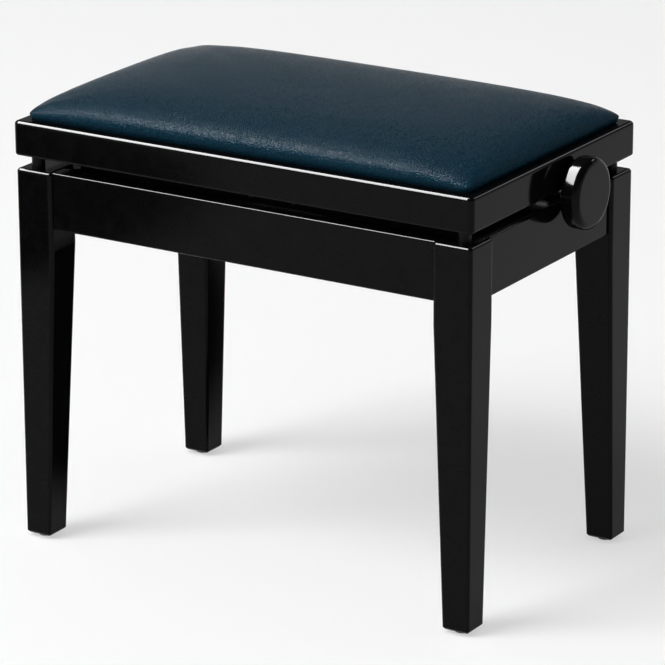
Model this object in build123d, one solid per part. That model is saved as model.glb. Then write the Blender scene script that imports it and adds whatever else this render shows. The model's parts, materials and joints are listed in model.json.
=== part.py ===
from build123d import *

import math
import os

# Height-adjustable piano stool: a lacquered four-legged base, a framed seat with
# a crowned cushion, and a scissor lift between them that two side knobs drive.
# Millimetres. +X is the sitter's right, +Y is the back, +Z is up.
# The origin is on the floor under the middle of the seat.

# Seat frame
seat_length = 550.0
seat_width = 336.0
seat_rail_height = 37.0
seat_rail_width = 26.0
seat_rim_width = 14.0
seat_rebate_depth = 10.0
seat_corner_radius = 6.0
seat_top_edge_radius = 4.0
seat_bottom_edge_radius = 3.0
seat_rim_inner_radius = 1.5
seat_block_leg = 30.0
seat_block_height = 22.0
seat_block_screw_inset = 10.0

# Cushion
board_thickness = 9.0
cover_thickness = 1.5
cushion_gap = 0.5
crown_height = 30.0
crown_drop_across = 9.0
crown_drop_along = 4.0
cushion_shoulder_radius = 14.0

# Legs and feet
base_inset = 1.5
leg_height = 405.0
leg_size = 44.0
leg_foot_size = 31.0
leg_block_height = 85.0
leg_edge_radius = 4.0
leg_foot_edge_radius = 3.0
leg_top_radius = 3.5
leg_foot_chamfer = 2.0
glide_height = 4.0
glide_radius = 9.0
glide_edge_radius = 2.0
nail_radius = 1.3
nail_head_radius = 3.0
nail_head_height = 1.0
nail_recess = 0.8
nail_length = 20.0
bumper_radius = 7.0
bumper_spigot_radius = 3.0
bumper_spigot_length = 8.0
bumper_inset = 17.0
seat_gap = 14.0

# Aprons and what stiffens them
apron_height = 62.0
apron_thickness = 20.0
apron_recess = 4.0
apron_edge_radius = 2.0
dowel_radius = 4.0
dowel_length = 40.0
long_dowel_offset = 18.0
short_dowel_offset = 7.0
corner_block_reach = 75.0
corner_block_height = 34.0
corner_block_bite = 16.0
batten_gap = 8.5
batten_width = 32.0
batten_height = 28.0
batten_dowel_length = 26.0
batten_dowel_spacing = 16.0

# Scissor lift
lift_rise = 90.0
spindle_drop = 3.0
spindle_offset = 28.0
pivot_spread = 32.0
pivot_offset = 25.0
arm_width = 16.0
arm_thickness = 4.0
arm_gap = 2.0
arm_end_clearance = 13.0
rail_inset = 47.5
rail_gap = 1.0
arm_play = 0.2
rail_thickness = 3.0
rail_flange_width = 20.0
rail_edge = 9.0
rail_foot_drop = 16.0
rail_end_margin = 12.0
pin_radius = 4.0
pin_head_radius = 6.0
pin_head_height = 2.0
pin_inner_head_height = 1.4
rod_radius = 4.0
rod_overhang = 2.0
rod_chamfer = 0.5
journal_radius = 5.0
journal_play = 0.4
nut_bar_width = 22.0
nut_bar_height = 26.0
nut_bar_edge = 1.0
nut_bar_play = 0.5
nut_radius = 8.5
nut_flange_radius = 11.0
nut_flange_height = 2.0
nut_length = 26.0
spindle_radius = 6.0
spindle_chamfer = 1.0
stop_tube_wall = 3.0
stop_tube_play = 0.4
shaft_notch_clearance = 2.0

# Knobs
knob_radius = 37.5
knob_thickness = 21.0
knob_gap = 8.0
knob_neck_radius = 9.5
knob_neck_gap = 1.0
knob_front_edge_radius = 7.0
knob_back_edge_radius = 5.0
knob_bore_depth = 14.0
grub_radius = 2.0

# Screws
screw_radius = 2.0
screw_head_radius = 4.0
screw_head_height = 2.5
screw_head_edge_radius = 1.0
screw_tip = 2.0
screw_point_radius = 0.5
board_bite = 6.0
batten_bite = 20.0
apron_bite = 12.0
screw_sink_clearance = 0.5
lift_screw_spacing = 130.0

# Clearances
running_clearance = 0.05
glued_clearance = 0.05
slot_clearance = 0.3

# How far a cut runs past the face it opens
cut_margin = 1.0

# Heights worked out from the floor up
leg_top = glide_height + leg_height
apron_bottom = leg_top - apron_height
apron_middle = leg_top - apron_height / 2
seat_bottom = leg_top + seat_gap
seat_top = seat_bottom + seat_rail_height
ledge = seat_top - seat_rebate_depth
board_top = ledge + board_thickness
spindle_height = seat_bottom - spindle_drop
base_pivot = spindle_height - pivot_spread / 2
seat_pivot = spindle_height + pivot_spread / 2
base_rail_bottom = base_pivot - rail_foot_drop

# Plan sizes
seat_half_length = seat_length / 2
seat_half_width = seat_width / 2
base_half_length = seat_half_length - base_inset
base_half_width = seat_half_width - base_inset
seat_inner_length = seat_half_length - seat_rail_width
leg_inner_x = base_half_length - leg_size
leg_inner_y = base_half_width - leg_size
apron_inner_x = base_half_length - apron_recess - apron_thickness
apron_inner_y = base_half_width - apron_recess - apron_thickness
apron_middle_x = apron_inner_x + apron_thickness / 2
apron_middle_y = apron_inner_y + apron_thickness / 2
board_half_length = seat_half_length - seat_rim_width - cushion_gap - cover_thickness
board_half_width = seat_half_width - seat_rim_width - cushion_gap - cover_thickness

# Scissor geometry: the arms' outer ends slide while the inner ends turn in place
reach_low = seat_inner_length - arm_end_clearance - arm_width / 2 - pivot_offset
arm_length = math.hypot(reach_low, pivot_spread)
reach_high = math.sqrt(arm_length**2 - (pivot_spread + lift_rise) ** 2)
slot_travel = reach_low - reach_high
outer_x = pivot_offset + reach_low
nut_x = pivot_offset + reach_low / 2
nut_x_high = pivot_offset + reach_high / 2

# Layers of the lift across the stool, from the rails inwards
rail_inner = apron_inner_y - rail_inset
rail_outer = rail_inner + rail_thickness
base_arm_outer = rail_inner - rail_gap
base_arm_inner = base_arm_outer - arm_thickness
seat_arm_outer = base_arm_inner - arm_gap
seat_arm_inner = seat_arm_outer - arm_thickness
rail_half_length = outer_x + rail_end_margin

SIDES = {"left": -1, "right": 1}
FACES = {"front": -1, "back": 1}


def span(x0, x1, y0, y1, z0, z1):
    """A box between two limits on each axis."""
    middle = Pos((x0 + x1) / 2, (y0 + y1) / 2, (z0 + z1) / 2)
    return middle * Box(abs(x1 - x0), abs(y1 - y0), abs(z1 - z0))


def bar_x(radius, x0, x1, y, z):
    """A round bar along X."""
    return Pos((x0 + x1) / 2, y, z) * Rot(0, 90, 0) * Cylinder(radius, abs(x1 - x0))


def bar_y(radius, x, y0, y1, z):
    """A round bar along Y."""
    return Pos(x, (y0 + y1) / 2, z) * Rot(90, 0, 0) * Cylinder(radius, abs(y1 - y0))


def bar_z(radius, x, y, z0, z1):
    """A round bar along Z."""
    return Pos(x, y, (z0 + z1) / 2) * Cylinder(radius, abs(z1 - z0))


def flip_x(solid):
    """The same piece on the other side of the stool's length."""
    return mirror(solid, about=Plane.YZ)


def flip_y(solid):
    """The same piece on the other side of the stool's width."""
    return mirror(solid, about=Plane.XZ)


def placed(solid, side, face):
    """A piece drawn at the back right, moved to the named corner by reflection."""
    turned = flip_x(solid) if side < 0 else solid
    return flip_y(turned) if face < 0 else turned


def four_corners(solid):
    """Four reflected copies of a piece drawn at the back right."""
    return [placed(solid, side, face) for side in SIDES.values() for face in FACES.values()]


def group(solids):
    """Like pieces that stay separate solids in one node."""
    return Compound(children=[copy for solid in solids for copy in solid.solids()])


def wood_screw(seat, direction, length):
    """A pan-head screw whose head sits at a point and whose shank runs along a direction."""
    head = Pos(0, 0, -screw_head_height / 2) * Cylinder(screw_head_radius, screw_head_height)
    head = fillet(head.edges().sort_by(Axis.Z)[0], screw_head_edge_radius)
    shank = Pos(0, 0, (length - screw_tip) / 2) * Cylinder(screw_radius, length - screw_tip)
    tip = Pos(0, 0, length - screw_tip / 2) * Cone(screw_radius, screw_point_radius, screw_tip)
    return Plane(origin=seat, z_dir=direction) * (head + shank + tip)


def screw_hole(seat, direction, length):
    """The hole that a screw's shank fills."""
    hole = Pos(0, 0, length / 2) * Cylinder(screw_radius + glued_clearance, length)
    return Plane(origin=seat, z_dir=direction) * hole


def screw_sink(seat, direction, depth):
    """The wide hole that lets a screw's head go below the surface."""
    sink = Pos(0, 0, -depth / 2) * Cylinder(screw_head_radius + screw_sink_clearance, depth)
    return Plane(origin=seat, z_dir=direction) * sink


# Places of the fasteners, drawn at the back right

long_dowel_heights = [apron_middle - long_dowel_offset, apron_middle + long_dowel_offset]
short_dowel_heights = [apron_middle - short_dowel_offset, apron_middle + short_dowel_offset]
batten_top = base_rail_bottom
batten_middle = batten_top - batten_height / 2
batten_x = apron_inner_x - corner_block_reach - batten_gap - batten_width / 2
batten_dowel_places = [batten_x - batten_dowel_spacing / 2, batten_x + batten_dowel_spacing / 2]
rail_screw_y = rail_outer + (rail_flange_width - rail_thickness) / 2
lift_screw_places = [lift_screw_spacing / 2, lift_screw_spacing * 3 / 2]
block_top = base_rail_bottom
block_middle = block_top - corner_block_height / 2
block_long_screw_x = (apron_inner_x - corner_block_reach + leg_inner_x) / 2
block_short_screw_y = (apron_inner_y - corner_block_reach + leg_inner_y) / 2
block_screw_length = corner_block_bite + apron_bite
seat_block_x = seat_inner_length - seat_block_screw_inset
seat_block_y = seat_half_width - seat_rail_width - seat_block_screw_inset
board_screw_length = seat_block_height + board_bite
lift_screw_length = rail_thickness + board_bite
rail_screw_length = rail_thickness + batten_bite


def long_dowels(clearance):
    """Dowels from the back apron into the back right leg."""
    radius = dowel_radius + clearance
    ends = leg_inner_x - dowel_length / 2 - clearance, leg_inner_x + dowel_length / 2 + clearance
    return [bar_x(radius, ends[0], ends[1], apron_middle_y, z) for z in long_dowel_heights]


def short_dowels(clearance):
    """Dowels from the right apron into the back right leg."""
    radius = dowel_radius + clearance
    ends = leg_inner_y - dowel_length / 2 - clearance, leg_inner_y + dowel_length / 2 + clearance
    return [bar_y(radius, apron_middle_x, ends[0], ends[1], z) for z in short_dowel_heights]


def batten_dowels(clearance):
    """Dowels from the right batten into the back apron."""
    radius = dowel_radius + clearance
    depth = apron_inner_y + apron_thickness / 2 + clearance
    start = depth - batten_dowel_length - 2 * clearance
    return [bar_y(radius, x, start, depth, batten_middle) for x in batten_dowel_places]


def block_screw_seats():
    """Seat and direction of the two screws of the back right corner block."""
    along_y = (block_long_screw_x, apron_inner_y - corner_block_bite, block_middle), (0, 1, 0)
    along_x = (apron_inner_x - corner_block_bite, block_short_screw_y, block_middle), (1, 0, 0)
    return [along_y, along_x]


# Base

leg_foot_x = base_half_length - leg_foot_size / 2
leg_foot_y = base_half_width - leg_foot_size / 2
bumper_x = base_half_length - bumper_inset
bumper_y = base_half_width - bumper_inset


def make_leg():
    """The back right leg: a straight block above, tapered on all four faces below."""
    centre_x = base_half_length - leg_size / 2
    centre_y = base_half_width - leg_size / 2
    taper_top = leg_top - leg_block_height
    top_outline = RectangleRounded(leg_size, leg_size, leg_edge_radius)
    foot_outline = RectangleRounded(leg_foot_size, leg_foot_size, leg_foot_edge_radius)
    shank = loft(
        [
            Pos(leg_foot_x, leg_foot_y, glide_height) * foot_outline,
            Pos(centre_x, centre_y, taper_top) * top_outline,
        ],
        ruled=True,
    )
    shank = chamfer(shank.faces().sort_by(Axis.Z)[0].edges(), leg_foot_chamfer)
    block = extrude(Pos(centre_x, centre_y, taper_top) * top_outline, leg_block_height)
    block = fillet(block.faces().sort_by(Axis.Z)[-1].edges(), leg_top_radius)
    leg = shank + block
    for dowel in long_dowels(glued_clearance) + short_dowels(glued_clearance):
        leg -= dowel
    nail_top = nail_recess + nail_head_height + nail_length + glued_clearance
    leg -= bar_z(nail_radius + glued_clearance, leg_foot_x, leg_foot_y, 0, nail_top)
    spigot = leg_top - bumper_spigot_length - glued_clearance
    leg -= bar_z(bumper_spigot_radius + glued_clearance, bumper_x, bumper_y, spigot, leg_top + cut_margin)
    return leg


def make_glide():
    """A nail-on glide under the back right leg, flat where it meets the floor."""
    glide = bar_z(glide_radius, leg_foot_x, leg_foot_y, 0, glide_height)
    glide = fillet(glide.edges().sort_by(Axis.Z)[0], glide_edge_radius)
    head_top = nail_recess + nail_head_height
    glide -= bar_z(nail_head_radius + glued_clearance, leg_foot_x, leg_foot_y, 0, head_top)
    glide -= bar_z(nail_radius + glued_clearance, leg_foot_x, leg_foot_y, 0, glide_height)
    return glide


def make_nail():
    """The nail that holds a glide."""
    head_top = nail_recess + nail_head_height
    head = bar_z(nail_head_radius, leg_foot_x, leg_foot_y, nail_recess, head_top)
    return head + bar_z(nail_radius, leg_foot_x, leg_foot_y, head_top, head_top + nail_length)


def make_bumper():
    """The rubber stud on the back right leg that the lowered seat rests on."""
    pad = bar_z(bumper_radius, bumper_x, bumper_y, leg_top, seat_bottom)
    foot = leg_top - bumper_spigot_length
    return pad + bar_z(bumper_spigot_radius, bumper_x, bumper_y, foot, leg_top)


def make_long_apron():
    """The back apron, between the two back legs."""
    apron = span(
        -leg_inner_x, leg_inner_x, apron_inner_y, apron_inner_y + apron_thickness, apron_bottom, leg_top
    )
    outer = apron.faces().sort_by(Axis.Y)[-1]
    apron = fillet(outer.edges().filter_by(Axis.X), apron_edge_radius)
    cuts = long_dowels(glued_clearance) + batten_dowels(glued_clearance)
    seat, direction = block_screw_seats()[0]
    cuts.append(screw_hole(seat, direction, block_screw_length))
    for cut in cuts:
        apron -= cut
        apron -= flip_x(cut)
    return apron


def make_short_apron():
    """The right apron, between the two right legs."""
    apron = span(
        apron_inner_x, apron_inner_x + apron_thickness, -leg_inner_y, leg_inner_y, apron_bottom, leg_top
    )
    outer = apron.faces().sort_by(Axis.X)[-1]
    apron = fillet(outer.edges().filter_by(Axis.Y), apron_edge_radius)
    seat, direction = block_screw_seats()[1]
    for cut in short_dowels(glued_clearance) + [screw_hole(seat, direction, block_screw_length)]:
        apron -= cut
        apron -= flip_y(cut)
    return apron


def make_corner_block():
    """The block glued and screwed in the back right corner, notched round the leg."""
    outline = Polyline(
        (apron_inner_x - corner_block_reach, apron_inner_y),
        (leg_inner_x, apron_inner_y),
        (leg_inner_x, leg_inner_y),
        (apron_inner_x, leg_inner_y),
        (apron_inner_x, apron_inner_y - corner_block_reach),
        close=True,
    )
    block = extrude(Pos(0, 0, block_top - corner_block_height) * make_face(outline), corner_block_height)
    for seat, direction in block_screw_seats():
        block -= screw_hole(seat, direction, block_screw_length)
        block -= screw_sink(seat, direction, corner_block_reach)
    return block


def make_batten():
    """The right batten, which carries both lower rails of the lift."""
    batten = span(
        batten_x - batten_width / 2,
        batten_x + batten_width / 2,
        -apron_inner_y,
        apron_inner_y,
        batten_top - batten_height,
        batten_top,
    )
    cuts = batten_dowels(glued_clearance)
    seat = (batten_x, rail_screw_y, base_rail_bottom + rail_thickness)
    cuts.append(screw_hole(seat, (0, 0, -1), rail_screw_length))
    for cut in cuts:
        batten -= cut
        batten -= flip_y(cut)
    return batten


def guide_slot(height):
    """The slot at the right end of a back rail, in which a cross rod slides."""
    radius = rod_radius + slot_clearance
    inner = outer_x - slot_travel
    near = rail_inner - cut_margin
    far = rail_outer + cut_margin
    slot = span(inner, outer_x, near, far, height - radius, height + radius)
    slot += bar_y(radius, inner, near, far, height)
    slot += bar_y(radius, outer_x, near, far, height)
    return slot


def rail_web(bottom, top, pivot):
    """The upright flange of a back rail, with its pivot holes and guide slots."""
    web = span(-rail_half_length, rail_half_length, rail_inner, rail_outer, bottom, top)
    near = rail_inner - cut_margin
    far = rail_outer + cut_margin
    pin_hole = bar_y(pin_radius + glued_clearance, pivot_offset, near, far, pivot)
    for cut in (pin_hole, guide_slot(pivot)):
        web -= cut
        web -= flip_x(cut)
    return web


def make_base_rail():
    """The back lower rail, a steel angle screwed down on the battens."""
    foot = span(
        -rail_half_length,
        rail_half_length,
        rail_inner,
        rail_inner + rail_flange_width,
        base_rail_bottom,
        base_rail_bottom + rail_thickness,
    )
    rail = rail_web(base_rail_bottom, base_pivot + rail_edge, base_pivot) + foot
    hole = screw_hole(
        (batten_x, rail_screw_y, base_rail_bottom + rail_thickness), (0, 0, -1), rail_screw_length
    )
    rail -= hole
    return rail - flip_x(hole)


def make_base_pin():
    """The riveted pin on which the back right base arm turns."""
    head_start = base_arm_inner - arm_play - pin_inner_head_height
    pin = bar_y(pin_head_radius, pivot_offset, head_start, head_start + pin_inner_head_height, base_pivot)
    pin += bar_y(pin_radius, pivot_offset, head_start, rail_outer, base_pivot)
    return pin + bar_y(pin_head_radius, pivot_offset, rail_outer, rail_outer + pin_head_height, base_pivot)


# Scissor arms, their cross rods and the nut bars

def make_arm(inner_height, outer_height, layer):
    """A flat arm at the back right, from its inner pivot to its sliding end."""
    direction = Vector(reach_low, 0, outer_height - inner_height)
    plane = Plane(
        origin=(nut_x, layer, (inner_height + outer_height) / 2), x_dir=direction, z_dir=(0, -1, 0)
    )
    outline = SlotCenterToCenter(arm_length, arm_width)
    outline -= Pos(-arm_length / 2, 0) * Circle(pin_radius + running_clearance)
    outline -= Pos(arm_length / 2, 0) * Circle(rod_radius + glued_clearance)
    outline -= Circle(journal_radius + running_clearance)
    return extrude(plane * outline, arm_thickness)


def make_cross_rod(height):
    """The right cross rod that joins a front and a back arm and slides in the rails."""
    end = rail_outer + rod_overhang
    rod = bar_y(rod_radius, outer_x, -end, end, height)
    return chamfer(rod.edges().filter_by(GeomType.CIRCLE), rod_chamfer)


def make_nut_bar():
    """The right nut bar, whose ends are the pins of both crossings."""
    half = seat_arm_inner - nut_bar_play
    bar = span(
        nut_x - nut_bar_width / 2,
        nut_x + nut_bar_width / 2,
        -half,
        half,
        spindle_height - nut_bar_height / 2,
        spindle_height + nut_bar_height / 2,
    )
    bar = chamfer(bar.edges().filter_by(Axis.Y), nut_bar_edge)
    end = rail_inner - journal_play
    bar += bar_y(journal_radius, nut_x, -end, end, spindle_height)
    bore = nut_radius + glued_clearance
    return bar - bar_x(bore, nut_x - nut_bar_width, nut_x + nut_bar_width, spindle_offset, spindle_height)


def make_nut():
    """The flanged brass nut in the right nut bar."""
    outer = nut_x + nut_bar_width / 2
    inner = outer - nut_length + nut_flange_height
    nut = bar_x(nut_radius, inner, outer, spindle_offset, spindle_height)
    nut += bar_x(nut_flange_radius, outer, outer + nut_flange_height, spindle_offset, spindle_height)
    bore = spindle_radius + running_clearance
    return nut - bar_x(bore, inner - cut_margin, outer + nut_length, spindle_offset, spindle_height)


def make_stop_tube():
    """The spacer tube on the spindle that the nuts meet at the greatest height."""
    nut_inner_face = nut_length - nut_flange_height - nut_bar_width / 2
    half = nut_x_high - nut_inner_face - stop_tube_play
    bore = spindle_radius + running_clearance
    tube = bar_x(bore + stop_tube_wall, -half, half, spindle_offset, spindle_height)
    return tube - bar_x(bore, -half - cut_margin, half + cut_margin, spindle_offset, spindle_height)


# Spindle and knobs

knob_back = seat_half_length + knob_gap
knob_front = knob_back + knob_thickness
knob_neck_start = seat_half_length + knob_neck_gap
spindle_half = knob_back + knob_bore_depth
grub_x = (knob_neck_start + knob_back) / 2


def make_spindle():
    """The spindle, threaded right-handed to the left and left-handed to the right."""
    spindle = bar_x(spindle_radius, -spindle_half, spindle_half, spindle_offset, spindle_height)
    return chamfer(spindle.edges().filter_by(GeomType.CIRCLE), spindle_chamfer)


def make_knob():
    """The right knob: a thick turned disc on a short neck, its edges well rounded."""
    outline = Polyline(
        (knob_neck_start, 0),
        (knob_neck_start, knob_neck_radius),
        (knob_back, knob_neck_radius),
        (knob_back, knob_radius),
        (knob_front, knob_radius),
        (knob_front, 0),
        close=True,
    )
    profile = make_face(outline)
    corners = profile.vertices()
    front = corners.sort_by_distance((knob_front, knob_radius))[0]
    back = corners.sort_by_distance((knob_back, knob_radius))[0]
    profile = fillet(front, knob_front_edge_radius)
    profile = fillet(profile.vertices().sort_by_distance(back)[0], knob_back_edge_radius)
    knob = revolve(Plane.XZ * profile, Axis.X)
    knob = Pos(0, spindle_offset, spindle_height) * knob
    bore = spindle_radius + glued_clearance
    bore_end = spindle_half + glued_clearance
    knob -= bar_x(bore, knob_neck_start - cut_margin, bore_end, spindle_offset, spindle_height)
    return knob - make_grub(glued_clearance)


def make_grub(clearance):
    """The grub screw that locks the right knob to the spindle."""
    top = spindle_height - spindle_radius
    bottom = spindle_height - knob_neck_radius - clearance
    return bar_z(grub_radius + clearance, grub_x, spindle_offset, bottom, top)


# Seat

def seat_block_outside():
    """The seat frame's outside as one block, rounded at its upright and level edges."""
    outline = RectangleRounded(seat_length, seat_width, seat_corner_radius)
    block = extrude(Pos(0, 0, seat_bottom) * outline, seat_rail_height)
    block = fillet(block.faces().sort_by(Axis.Z)[-1].edges(), seat_top_edge_radius)
    return fillet(block.faces().sort_by(Axis.Z)[0].edges(), seat_bottom_edge_radius)


def seat_rail_profile():
    """The section of a seat rail: outer face at 0, rim above, ledge for the board inside."""
    section = make_face(
        Polyline(
            (0, seat_bottom),
            (seat_rail_width, seat_bottom),
            (seat_rail_width, ledge),
            (seat_rim_width, ledge),
            (seat_rim_width, seat_top),
            (0, seat_top),
            close=True,
        )
    )
    rim_edge = section.vertices().sort_by_distance((seat_rim_width, seat_top))[0]
    return fillet(rim_edge, seat_rim_inner_radius)


def mitred_rail(half, depth):
    """A rail along X whose outer face is at -depth, with mitred ends."""
    plane = Plane(origin=(-half, -depth, 0), x_dir=(0, 1, 0), z_dir=(1, 0, 0))
    rail = extrude(plane * seat_rail_profile(), 2 * half)
    inner = half - seat_rail_width
    mitre = make_face(
        Polyline(
            (-half, -depth),
            (half, -depth),
            (inner, -depth + seat_rail_width),
            (-inner, -depth + seat_rail_width),
            close=True,
        )
    )
    return rail & extrude(Pos(0, 0, seat_bottom - cut_margin) * mitre, seat_rail_height + 2 * cut_margin)


def make_long_seat_rail():
    """The back rail of the seat frame."""
    return flip_y(mitred_rail(seat_half_length, seat_half_width)) & seat_block_outside()


def make_short_seat_rail():
    """The right rail of the seat frame, notched below for the spindle."""
    rail = Rot(0, 0, 90) * mitred_rail(seat_half_width, seat_half_length) & seat_block_outside()
    radius = spindle_radius + shaft_notch_clearance
    inside = seat_inner_length - cut_margin
    outside = seat_half_length + cut_margin
    rail -= bar_x(radius, inside, outside, spindle_offset, spindle_height)
    return rail - span(
        inside,
        outside,
        spindle_offset - radius,
        spindle_offset + radius,
        spindle_height - seat_rail_height,
        spindle_height,
    )


def make_seat_block():
    """The triangular block in the back right corner of the seat frame."""
    x = seat_inner_length
    y = seat_half_width - seat_rail_width
    outline = Polyline((x, y), (x - seat_block_leg, y), (x, y - seat_block_leg), close=True)
    block = extrude(Pos(0, 0, ledge - seat_block_height) * make_face(outline), seat_block_height)
    seat = (seat_block_x, seat_block_y, ledge - seat_block_height)
    return block - screw_hole(seat, (0, 0, 1), board_screw_length)


def board_blank():
    """The board's outline, before its screw holes."""
    return span(
        -board_half_length, board_half_length, -board_half_width, board_half_width, ledge, board_top
    )


def make_board():
    """The plywood board on the ledge of the seat frame."""
    board = board_blank()
    seat = (seat_block_x, seat_block_y, ledge - seat_block_height)
    cuts = [screw_hole(seat, (0, 0, 1), board_screw_length)]
    for x in lift_screw_places:
        cuts.append(screw_hole((x, rail_screw_y, ledge - rail_thickness), (0, 0, 1), lift_screw_length))
    for cut in cuts:
        for hole in four_corners(cut):
            board -= hole
    return board


def crowned_pad(inset):
    """A pad on the ledge, crowned along and across, set in from the cover's outside."""
    half_length = board_half_length + cover_thickness - inset
    half_width = board_half_width + cover_thickness - inset
    top = seat_top + crown_height - inset
    across_radius = half_width**2 / (2 * crown_drop_across) + crown_drop_across / 2
    along_radius = half_length**2 / (2 * crown_drop_along) + crown_drop_along / 2
    margin = seat_rail_width
    reach = half_width + margin
    drop = across_radius - math.sqrt(across_radius**2 - reach**2)
    floor = ledge - 2 * margin
    arch = make_face(
        ThreePointArc((-reach, top - drop), (0, top), (reach, top - drop))
        + Polyline((reach, top - drop), (reach, floor), (-reach, floor), (-reach, top - drop))
    )
    hinge = Axis((0, 0, top - along_radius), (0, 1, 0))
    swing = math.degrees(math.asin((half_length + margin) / along_radius))
    section = (Plane.YZ * arch).rotate(hinge, -swing)
    crown = revolve(section, hinge, 2 * swing)
    pad = span(-half_length, half_length, -half_width, half_width, ledge, top + cut_margin) & crown
    roof = pad.faces().sort_by(Axis.Z)[-1]
    return fillet(roof.edges(), cushion_shoulder_radius - inset)


def make_foam():
    """The foam on the board."""
    return crowned_pad(cover_thickness) - board_blank()


def make_cover():
    """The leatherette cover over the foam and round the board's edge."""
    return crowned_pad(0) - crowned_pad(cover_thickness) - board_blank()


def make_lift_rail():
    """The back upper rail, a steel angle screwed up to the board."""
    flange = span(
        -rail_half_length,
        rail_half_length,
        rail_inner,
        rail_inner + rail_flange_width,
        ledge - rail_thickness,
        ledge,
    )
    rail = rail_web(seat_pivot - rail_edge, ledge, seat_pivot) + flange
    for x in lift_screw_places:
        hole = screw_hole((x, rail_screw_y, ledge - rail_thickness), (0, 0, 1), lift_screw_length)
        rail -= hole
        rail -= flip_x(hole)
    return rail


def make_seat_pin():
    """The shouldered pin on which the back right seat arm turns."""
    head_end = seat_arm_inner - arm_play
    head_start = head_end - pin_inner_head_height
    shoulder = seat_arm_outer + arm_play
    pin = bar_y(pin_head_radius, pivot_offset, head_start, head_end, seat_pivot)
    pin += bar_y(pin_radius, pivot_offset, head_start, rail_outer, seat_pivot)
    pin += bar_y(pin_head_radius, pivot_offset, shoulder, rail_inner, seat_pivot)
    return pin + bar_y(pin_head_radius, pivot_offset, rail_outer, rail_outer + pin_head_height, seat_pivot)


# Every piece, by name

def base_pieces():
    """The pieces that stand still on the floor."""
    pieces = {}
    leg = make_leg()
    for face_name, face in FACES.items():
        for side_name, side in SIDES.items():
            pieces[f"leg_{face_name}_{side_name}"] = placed(leg, side, face)
    long_apron = make_long_apron()
    short_apron = make_short_apron()
    pieces["apron_back"] = long_apron
    pieces["apron_front"] = flip_y(long_apron)
    pieces["apron_right"] = short_apron
    pieces["apron_left"] = flip_x(short_apron)
    dowels = long_dowels(0) + short_dowels(0)
    pieces["apron_dowels"] = group([copy for dowel in dowels for copy in four_corners(dowel)])
    pieces["corner_blocks"] = group(four_corners(make_corner_block()))
    block_screws = [wood_screw(*seat, block_screw_length) for seat in block_screw_seats()]
    pieces["corner_block_screws"] = group([copy for screw in block_screws for copy in four_corners(screw)])
    pieces["foot_glides"] = group(four_corners(make_glide()))
    pieces["glide_nails"] = group(four_corners(make_nail()))
    pieces["seat_bumpers"] = group(four_corners(make_bumper()))
    batten = make_batten()
    pieces["batten_right"] = batten
    pieces["batten_left"] = flip_x(batten)
    pieces["batten_dowels"] = group([copy for dowel in batten_dowels(0) for copy in four_corners(dowel)])
    base_rail = make_base_rail()
    pieces["base_rail_back"] = base_rail
    pieces["base_rail_front"] = flip_y(base_rail)
    rail_seat = (batten_x, rail_screw_y, base_rail_bottom + rail_thickness)
    rail_screw = wood_screw(rail_seat, (0, 0, -1), rail_screw_length)
    pieces["base_rail_screws"] = group(four_corners(rail_screw))
    pieces["base_pivot_pins"] = group(four_corners(make_base_pin()))
    return pieces


def lift_pieces():
    """The scissor arms, nut bars, stop tube, spindle and knobs."""
    pieces = {}
    base_arm = make_arm(base_pivot, seat_pivot, base_arm_outer)
    seat_arm = make_arm(seat_pivot, base_pivot, seat_arm_outer)
    base_rod = make_cross_rod(seat_pivot)
    seat_rod = make_cross_rod(base_pivot)
    nut_bar = make_nut_bar()
    nut = make_nut()
    knob = make_knob()
    for side_name, side in SIDES.items():
        for face_name, face in FACES.items():
            pieces[f"{side_name}_base_arm_{face_name}"] = placed(base_arm, side, face)
            pieces[f"{side_name}_seat_arm_{face_name}"] = placed(seat_arm, side, face)
        pieces[f"{side_name}_base_arm_rod"] = placed(base_rod, side, 1)
        pieces[f"{side_name}_seat_arm_rod"] = placed(seat_rod, side, 1)
        pieces[f"{side_name}_nut_bar"] = placed(nut_bar, side, 1)
        pieces[f"{side_name}_spindle_nut"] = placed(nut, side, 1)
        pieces[f"{side_name}_knob"] = placed(knob, side, 1)
    pieces["stop_tube"] = make_stop_tube()
    pieces["spindle"] = make_spindle()
    grub = make_grub(0)
    pieces["knob_grub_screws"] = group([grub, flip_x(grub)])
    return pieces


def seat_pieces():
    """The pieces that rise and sink with the seat."""
    pieces = {}
    long_rail = make_long_seat_rail()
    short_rail = make_short_seat_rail()
    pieces["seat_rail_back"] = long_rail
    pieces["seat_rail_front"] = flip_y(long_rail)
    pieces["seat_rail_right"] = short_rail
    pieces["seat_rail_left"] = flip_x(short_rail)
    pieces["seat_corner_blocks"] = group(four_corners(make_seat_block()))
    block_seat = (seat_block_x, seat_block_y, ledge - seat_block_height)
    pieces["board_screws"] = group(four_corners(wood_screw(block_seat, (0, 0, 1), board_screw_length)))
    pieces["seat_board"] = make_board()
    pieces["foam_pad"] = make_foam()
    pieces["seat_cover"] = make_cover()
    lift_rail = make_lift_rail()
    pieces["lift_rail_back"] = lift_rail
    pieces["lift_rail_front"] = flip_y(lift_rail)
    lift_screws = []
    for x in lift_screw_places:
        seat = (x, rail_screw_y, ledge - rail_thickness)
        lift_screws += four_corners(wood_screw(seat, (0, 0, 1), lift_screw_length))
    pieces["lift_rail_screws"] = group(lift_screws)
    pieces["seat_pivot_pins"] = group(four_corners(make_seat_pin()))
    return pieces


os.makedirs("parts", exist_ok=True)
for name, piece in {**base_pieces(), **lift_pieces(), **seat_pieces()}.items():
    export_step(piece, f"parts/{name}.step")
print("rest angle", math.degrees(math.asin(pivot_spread / arm_length)))
print("raised angle", math.degrees(math.asin((pivot_spread + lift_rise) / arm_length)))
print("nut travel", nut_x - nut_x_high)
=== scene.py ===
"""A height-adjustable piano stool: finishes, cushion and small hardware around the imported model.

The stool stands on the floor at the origin, with its length along X, the sitter's right at +X
and the back at +Y. Everything is in metres.
"""

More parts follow.
